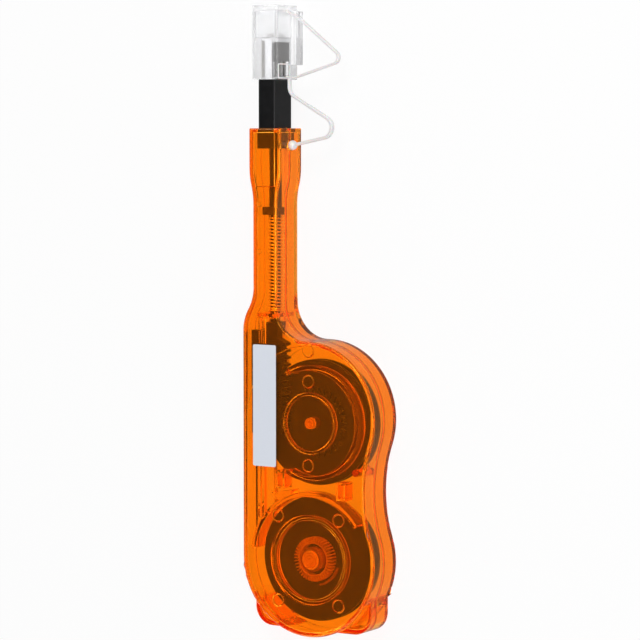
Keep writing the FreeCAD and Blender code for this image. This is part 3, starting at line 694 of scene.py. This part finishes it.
def light_paths(bounces: int) -> None:
    """Let light pass through the nested clear walls before it is given up.

    Args:
        bounces: Number of walls and mirrors that a ray may meet.
    """
    cycles = bpy.context.scene.cycles
    cycles.max_bounces = cycles.glossy_bounces = cycles.transmission_bounces = bounces
    cycles.transparent_max_bounces = bounces


# ---------------------------------------------------------------- sub-assemblies
@dataclass
class Housing:
    """The two clear shells, with the label and the click pawl."""

    nodes: dict[str, bpy.types.Object]
    ease: float = 0.17

    def build(self) -> None:
        """Dress the solids that the housing carries."""
        for name in ("front_shell", "back_shell"):
            shell = eased_copy(self.nodes[name], name + "_eased", self.ease)
            dress(shell, Palette.CLEAR_ORANGE)
        dress(self.nodes["stop_pawl"], Palette.CLEAR_ORANGE)
        dress(self.nodes["label"], Palette.LABEL)


@dataclass
class Reels:
    """Take-up and supply reels with gear, collar and detent."""

    nodes: dict[str, bpy.types.Object]
    ease: float = 0.06
    crown_in: float = 5.6
    crown_out: float = 8.0
    crown_low: float = 8.3
    crown_top: float = 11.6
    ridge_h: float = 3.5
    ridges: int = 42
    crown_edge: float = 0.2
    tooth_rise: tuple[float, ...] = (0.0, 0.0, 0.0, 0.0, 1.0, 1.0, 0.97, 0.85, 0.0)
    tooth_share: float = 0.2
    tooth_steepness: float = 1.5
    ring_steps: int = 10
    bosses: tuple[tuple[str, Point, float], ...] = (
        ("takeup_boss", (0.0, 48.8, 13.3), 1.95), ("supply_boss", (0.0, 0.0, 13.3), 3.1))
    boss_height: float = 0.35
    boss_wave: float = 0.18
    boss_pitch: float = 0.95
    boss_rings: int = 25

    def build(self) -> None:
        """Dress the reels' solids."""
        for name in ("takeup_spool", "takeup_flange", "drive_gear", "supply_spool", "supply_flange"):
            dress(self.nodes[name], Palette.BLACK)
        for name in ("hub_collar", "detent_arm"):
            piece = eased_copy(self.nodes[name], name + "_eased", self.ease)
            dress(piece, Palette.MILKY_ORANGE)
        self.crown()
        for name in ("takeup_tape", "supply_tape"):
            dress(self.nodes[name], Palette.TAPE)
        for name, place, radius in self.bosses:
            self.boss(name, place, radius)

    def boss(self, name: str, place: Point, radius: float) -> bpy.types.Object:
        """Round boss inside the front shell over a reel's axis: its face rises and falls as a cosine of the radius.

        Args:
            name: Name of the piece.
            place: Its middle.
            radius: Its radius.

        Returns:
            The boss, on the housing.
        """
        out = np.linspace(0.02, radius, self.boss_rings)
        face = self.boss_height + self.boss_wave * np.cos(math.tau * out / self.boss_pitch)
        profile = np.concatenate([[[0.01, 0.0]], [[radius, 0.0]], np.stack([out, face], 1)[::-1]])
        piece = lathe(name, place, profile)
        dress(piece, Palette.AMBER)
        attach(piece, "housing")
        return piece

    def crown(self) -> bpy.types.Object:
        """Carry a flat section round the supply axis: its top rises and falls as a clipped cosine of ridges x angle.

        Returns:
            The ridged ring, on the supply reel.
        """
        count = self.ridges * self.ring_steps
        turns = math.tau * np.arange(count) / count
        wave = np.clip(self.tooth_share + self.tooth_steepness * np.cos(self.ridges * turns), 0, 1)[:, None]
        inner, outer, edge = self.crown_in, self.crown_out, self.crown_edge
        low, top = self.crown_low, self.crown_top
        radius = np.array([inner, inner, inner + edge, inner + 2 * edge, inner + 2.5 * edge, outer - 2 * edge,
                           outer - edge, outer, outer])
        high = np.array([low, top - edge, top, top, *[low] * 5]) + np.array(self.tooth_rise) * self.ridge_h * wave
        points = np.stack([radius * np.cos(turns)[:, None], radius * np.sin(turns)[:, None], high], -1)
        ring = mesh_object("crown_ring", points.reshape(-1, 3), tube_faces(len(turns), len(radius), True))
        dress(ring, Palette.AMBER)
        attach(ring, "supply_reel")
        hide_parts("detent_ring")
        return ring


@dataclass
class Plunger:
    """Carriage with rack, rod, seat, nozzle and cleaning tip."""

    nodes: dict[str, bpy.types.Object]
    ease: float = 0.3

    def build(self) -> None:
        """Dress the plunger's solids."""
        for name in ("carriage", "core_rod"):
            dress(self.nodes[name], Palette.BLACK)
        dress(self.nodes["spring_seat"], Palette.SMOKY)
        nozzle = eased_copy(self.nodes["nozzle_sleeve"], "nozzle_eased", self.ease)
        dress(nozzle, Palette.BLACK)
        dress(self.nodes["tip_guide"], Palette.PALE_GREY)
        dress(self.nodes["cleaning_head"], Palette.GREY)
        for name in ("tape_feed_run", "tape_return_run"):
            dress(self.nodes[name], Palette.TAPE)


@dataclass
class Spring:
    """Return coil round the rod."""

    axis_x: float = -18.5
    axis_z: float = 8.0
    low_y: float = 87.4
    high_y: float = 121.8
    radius: float = 1.7
    wire: float = 0.6
    coils: int = 29
    turn_steps: int = 24
    around: int = 8
    body_a: str = "housing"
    body_b: str = "plunger"

    def build(self) -> bpy.types.Object:
        """Carry a circle along a helix: angle t gives (R cos t, pitch t, R sin t), with closed end turns.

        Returns:
            The coil, spanning from housing to plunger.
        """
        turns = np.linspace(0, self.coils, self.coils * self.turn_steps + 1)
        span = self.high_y - self.low_y - self.wire
        even = self.wire + (turns - 1) * (span - 2 * self.wire) / (self.coils - 2)
        rise = np.where(turns < 1, turns * self.wire, np.where(turns > self.coils - 1,
                        span - (self.coils - turns) * self.wire, even))
        angle = math.tau * turns
        outward = np.stack([np.cos(angle), np.zeros_like(angle), np.sin(angle)], 1)
        path = outward * self.radius + np.stack([np.zeros_like(angle), rise, np.zeros_like(angle)], 1)
        path += np.array([self.axis_x, self.low_y + self.wire / 2, self.axis_z])
        section = math.tau * np.arange(self.around)[None, :, None] / self.around
        ring = np.cos(section) * outward[:, None] + np.sin(section) * np.array([0.0, 1.0, 0.0])
        rings = path[:, None] + self.wire / 2 * ring
        coil = mesh_object("spring_coil", rings.reshape(-1, 3), tube_faces(len(path), self.around, False))
        dress(coil, Palette.SPRING)
        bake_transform(coil)
        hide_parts("return_spring")
        return coil


@dataclass
class GuideCap:
    """Frosted cap and lid, with the moulded frame on the cap's right face and two plates of painted shade inside the
    cap's wall.
    """

    nodes: dict[str, bpy.types.Object]
    ease: float = 0.25
    face_x: float = -13.05
    frame_low: Pair = (170.75, 6.9)
    frame_high: Pair = (175.7, 14.2)
    bead: float = 0.22
    # Painted shade: a thin dark plate inside the cap's right wall stands for the shade in an opening there, and a
    # thin grey plate under the front face stands for a shaded band at the edge of the cap's hollow; no part of the
    # pen is known to stand there.
    painted_shade_plates: tuple[tuple[str, tuple[float, ...], tuple[float, ...], Palette], ...] = (
        ("cap_slot_right", (-15.1, 171.2, 5.8), (-14.8, 183.4, 12.7), Palette.SMOKY),
        ("cap_slot_front", (-20.5, 171.2, 12.7), (-19.2, 184.0, 12.9), Palette.GREY),
    )
    stretch: tuple[AxisMap, ...] = (
        (0, (-23.55, -22.45, -14.55, -13.45, -12.45), (-23.95, -22.45, -14.55, -13.05, -10.9)),
        (1, (170.6, 173.0, 190.0, 195.0, 197.0), (170.3, 173.0, 189.7, 194.5, 196.5)),
    )

    def build(self) -> None:
        """Ease the cap and the lid, add the frame, and set the plates of painted shade inside the cap's wall."""
        for name in ("guide_cap", "cap_lid"):
            piece = eased_copy(self.nodes[name], name + "_eased", self.ease, stretch=self.stretch)
            dress(piece, Palette.FROSTED)
        (low_y, low_z), (high_y, high_z) = self.frame_low, self.frame_high
        x = self.face_x
        corners = np.array([[x, low_y, low_z], [x, high_y, low_z], [x, high_y, high_z], [x, low_y, high_z]])
        frame = bead_loop("cap_frame", corners, self.bead)
        dress(frame, Palette.SOFT_WHITE)
        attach(frame, "cap")
        # Each plate is painted shade: a flat dark or grey colour set where the cap shows shade.
        for name, low, high, finish in self.painted_shade_plates:
            shade_plate = block(name, low, high)
            dress(shade_plate, finish)
            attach(shade_plate, "cap")


@dataclass(frozen=True)
class Stretch:
    """One stretch of strap: the corners of its middle line, where it bends, and what it joins and stands for."""

    name: str
    corners: tuple[Pair, ...]
    radii: tuple[float, ...]
    bodies: tuple[str, str]
    span: Pair
    node: str
    share: float
    knob: bool = False


@dataclass
class Straps:
    """Soft strap in three stretches: button to mid-way, mid-way to cap, and cap to lid."""

    level: float = 8.0
    thick: float = 1.05
    wide: float = 2.0
    corner_r: float = 0.3
    step: float = 0.4
    knob: Pair = (-11.1, 147.0)
    knob_r: float = 1.75
    stretches: tuple[Stretch, ...] = (
        Stretch("strap_lower", ((-11.1, 146.95), (12.3, 151.6), (-3.83, 160.6)), (3.7,), ("housing", "plunger"),
                (148.2, 160.6), "cap_strap", 1.0, True),
        Stretch("strap_upper", ((-3.83, 160.6), (-12.26, 165.3), (-12.26, 170.7)), (4.0,), ("plunger", "cap"),
                (160.6, 170.4), "cap_strap_end", 0.8),
        Stretch("strap_lid", ((-13.4, 171.15), (-9.7, 171.0), (10.7, 176.93), (-7.5, 191.3), (-13.5, 194.6)),
                (5.0, 2.2, 14.0), ("cap", "lid"), (171.6, 194.2), "lid_strap", 0.75),
    )

    def build(self) -> None:
        """Make each stretch and report it."""
        for stretch in self.stretches:
            LOG.info("strap %s", self.carry(stretch).name)

    def carry(self, stretch: Stretch) -> bpy.types.Object:
        """Carry the strap's section along straight runs joined by arcs.

        Args:
            stretch: The stretch to make.

        Returns:
            The strap, with the round knob on the stretch that has one.
        """
        path = smooth_path(np.array([(*corner, self.level) for corner in stretch.corners]), list(stretch.radii))
        path = evened(path, self.step)
        section = rounded_section(self.thick * stretch.share, self.wide, self.corner_r)
        points = strip(path, section)
        faces = tube_faces(len(path), len(section), False)
        if stretch.knob:
            ball, ball_faces = sphere((*self.knob, self.level), self.knob_r)
            faces += [tuple(i + len(points) for i in face) for face in ball_faces]
            points = np.concatenate([points, ball])
        strap = mesh_object(stretch.name, points, faces)
        dress(strap, Palette.SOFT_WHITE)
        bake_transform(strap)
        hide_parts(stretch.node)
        return strap


# ---------------------------------------------------------------- studio and camera
@dataclass
class Studio:
    """Pale floor, even sky and three large soft lamps."""

    floor_z: float = -0.3
    floor_size: float = 4000.0
    patch: Point = (-0.528, -0.07, 0.846)
    sky_peak: float = 7.0
    sky_light: float = 0.55
    sky_levels: tuple[Pair, ...] = ((0.0, 1.0), (0.3, 1.0), (0.35, 7.0), (0.52, 7.0), (0.57, 1.0),
                                                   (0.78, 1.0), (0.95, 0.01))
    middle: Point = (0.0, 85.0, 0.0)
    floor_grey: float = 0.92
    floor_shown: float = 0.9
    floor_glint: float = 0.35
    passed_level: float = 0.9
    lamps: tuple[tuple[str, Point, Pair, float], ...] = (
        ("key", (200.0, 800.0, 800.0), (500.0, 500.0), 5.0),
        ("side", (900.0, 0.0, 500.0), (300.0, 900.0), 3.0),
        ("low", (100.0, -900.0, 500.0), (500.0, 500.0), 2.0),
    )

    def build(self) -> None:
        """Set the floor, the world and the lamps."""
        self.floor()
        self.sky()
        for name, place, size, power in self.lamps:
            self.lamp(name, place, size, power)

    def seen(self, tree: bpy.types.NodeTree, camera: float) -> bpy.types.NodeSocket:
        """A factor that is 1 for reflected and passed-through rays and less for the camera's own.

        Args:
            tree: The tree to build in.
            camera: The factor for rays straight from the camera.

        Returns:
            The factor.
        """
        rays = tree.nodes.new("ShaderNodeLightPath").outputs
        others = reckon(tree, "MAXIMUM", rays["Is Glossy Ray"], rays["Is Transmission Ray"])
        return reckon(tree, "MULTIPLY_ADD", rays["Is Camera Ray"], camera, others, clamp=True)

    def floor(self) -> None:
        """A plane under the pen that shows nearly white and keeps a faint shadow."""
        half = self.floor_size / 2
        corners = np.array([[-half, -half, self.floor_z], [half, -half, self.floor_z], [half, half, self.floor_z],
                            [-half, half, self.floor_z]])
        mesh = bpy.data.meshes.new("floor")
        mesh.from_pydata((corners * MM).tolist(), [], [(0, 1, 2, 3)])
        plane = bpy.data.objects.new("floor", mesh)
        bpy.context.scene.collection.objects.link(plane)
        material = bpy.data.materials.new("floor")
        material.use_nodes = True
        tree = material.node_tree
        tree.nodes.clear()
        diffuse = tree.nodes.new("ShaderNodeBsdfDiffuse")
        diffuse.inputs[0].default_value = rgba((self.floor_grey,) * 3)
        glow = tree.nodes.new("ShaderNodeEmission")
        rays = tree.nodes.new("ShaderNodeLightPath").outputs
        mirrored = reckon(tree, "SUBTRACT", rays["Is Glossy Ray"], rays["Is Transmission Ray"], clamp=True)
        level = reckon(tree, "MULTIPLY_ADD", mirrored, self.floor_glint - 1, 1.0)
        tree.links.new(level, glow.inputs["Strength"])
        mix = tree.nodes.new("ShaderNodeMixShader")
        out = tree.nodes.new("ShaderNodeOutputMaterial")
        tree.links.new(self.seen(tree, self.floor_shown), mix.inputs[0])
        tree.links.new(diffuse.outputs[0], mix.inputs[1])
        tree.links.new(glow.outputs[0], mix.inputs[2])
        tree.links.new(mix.outputs[0], out.inputs[0])
        mesh.materials.append(material)

    def sky(self) -> None:
        """A sky that is even as a light, and has a dark patch and a bright band round it for reflections."""
        world = bpy.data.worlds.new("sky")
        bpy.context.scene.world = world
        world.use_nodes = True
        tree = world.node_tree
        tree.nodes.clear()
        light = tree.nodes.new("ShaderNodeBackground")
        light.inputs["Strength"].default_value = self.sky_light
        white = tree.nodes.new("ShaderNodeBackground")
        place = tree.nodes.new("ShaderNodeTexCoord")
        nearness = tree.nodes.new("ShaderNodeVectorMath")
        nearness.operation = "DOT_PRODUCT"
        nearness.inputs[1].default_value = self.patch
        tree.links.new(place.outputs["Generated"], nearness.inputs[0])
        tree.links.new(nearness.outputs["Value"], self.levels(tree, white))
        mix = tree.nodes.new("ShaderNodeMixShader")
        out = tree.nodes.new("ShaderNodeOutputWorld")
        tree.links.new(self.seen(tree, 1.0), mix.inputs[0])
        tree.links.new(light.outputs[0], mix.inputs[1])
        tree.links.new(white.outputs[0], mix.inputs[2])
        tree.links.new(mix.outputs[0], out.inputs[0])

    def levels(self, tree: bpy.types.NodeTree, sky: bpy.types.Node) -> bpy.types.NodeSocket:
        """Brightness of the sky against the cosine from the patch's middle, by straight runs between stops.

        Rays that have passed through a clear wall meet no darker sky than passed_level.

        Args:
            tree: The world's tree.
            sky: The background node to drive.

        Returns:
            The socket that takes the cosine.
        """
        ramp = tree.nodes.new("ShaderNodeValToRGB")
        stops = ramp.color_ramp.elements
        while len(stops) < len(self.sky_levels):
            stops.new(0.5)
        for stop, (place, level) in zip(stops, self.sky_levels):
            stop.position, stop.color = place, rgba((level / self.sky_peak,) * 3)
        mirrored = reckon(tree, "MULTIPLY", ramp.outputs["Color"], self.sky_peak)
        rays = tree.nodes.new("ShaderNodeLightPath").outputs
        passed = reckon(tree, "MULTIPLY", rays["Is Transmission Ray"], self.passed_level)
        tree.links.new(reckon(tree, "MAXIMUM", mirrored, passed), sky.inputs["Strength"])
        return ramp.inputs[0]

    def lamp(self, name: str, place: Point, size: Pair, power: float) -> None:
        """A soft lamp that looks at the middle of the pen, with its long side along the pen.

        Args:
            name: Name of the lamp.
            place: Its place in millimetres.
            size: Its sides in millimetres.
            power: Its power in watts.
        """
        data = bpy.data.lights.new(name, "AREA")
        data.shape, data.size, data.size_y, data.energy = "RECTANGLE", size[0] * MM, size[1] * MM, power
        obj = bpy.data.objects.new(name, data)
        bpy.context.scene.collection.objects.link(obj)
        obj.location = Vector(place) * MM
        obj.rotation_mode = "QUATERNION"
        obj.rotation_quaternion = (obj.location - Vector(self.middle) * MM).to_track_quat("Z", "Y")


@dataclass
class Viewpoint:
    """Camera seen from the right of the front face's normal."""

    yaw: float = 32.0
    pitch: float = 4.0
    distance: float = 958.0
    aim: Point = (0.02, 85.1, 7.35)
    lens: float = 151.8

    def build(self) -> None:
        """Place the camera with +Y upright in its view."""
        yaw, pitch = math.radians(self.yaw), math.radians(self.pitch)
        back = Vector((math.sin(yaw) * math.cos(pitch), math.sin(pitch), math.cos(yaw) * math.cos(pitch)))
        right = Vector((0, 1, 0)).cross(back).normalized()
        up = back.cross(right)
        data = bpy.data.cameras.new("camera")
        data.sensor_width, data.lens = 36.0, self.lens
        data.clip_start, data.clip_end = 0.01, 100.0
        data.dof.use_dof = False
        camera = bpy.data.objects.new("camera", data)
        bpy.context.scene.collection.objects.link(camera)
        turn = Matrix((right, up, back)).transposed().to_4x4()
        camera.matrix_world = Matrix.Translation((Vector(self.aim) + back * self.distance) * MM) @ turn
        bpy.context.scene.camera = camera


def main() -> None:
    """Load the solids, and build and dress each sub-assembly."""
    logging.basicConfig(level=logging.INFO, format="%(name)s: %(message)s")
    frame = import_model()
    bpy.context.scene.view_settings.view_transform = "Standard"
    light_paths(LIGHT_BOUNCES)
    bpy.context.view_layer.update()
    nodes = frame["nodes"]
    Viewpoint().build()
    Studio().build()
    for part in (Housing(nodes), Reels(nodes), Plunger(nodes), GuideCap(nodes), Straps(), Spring()):
        part.build()
        LOG.info("built %s", type(part).__name__)


if __name__ == "__main__":
    main()
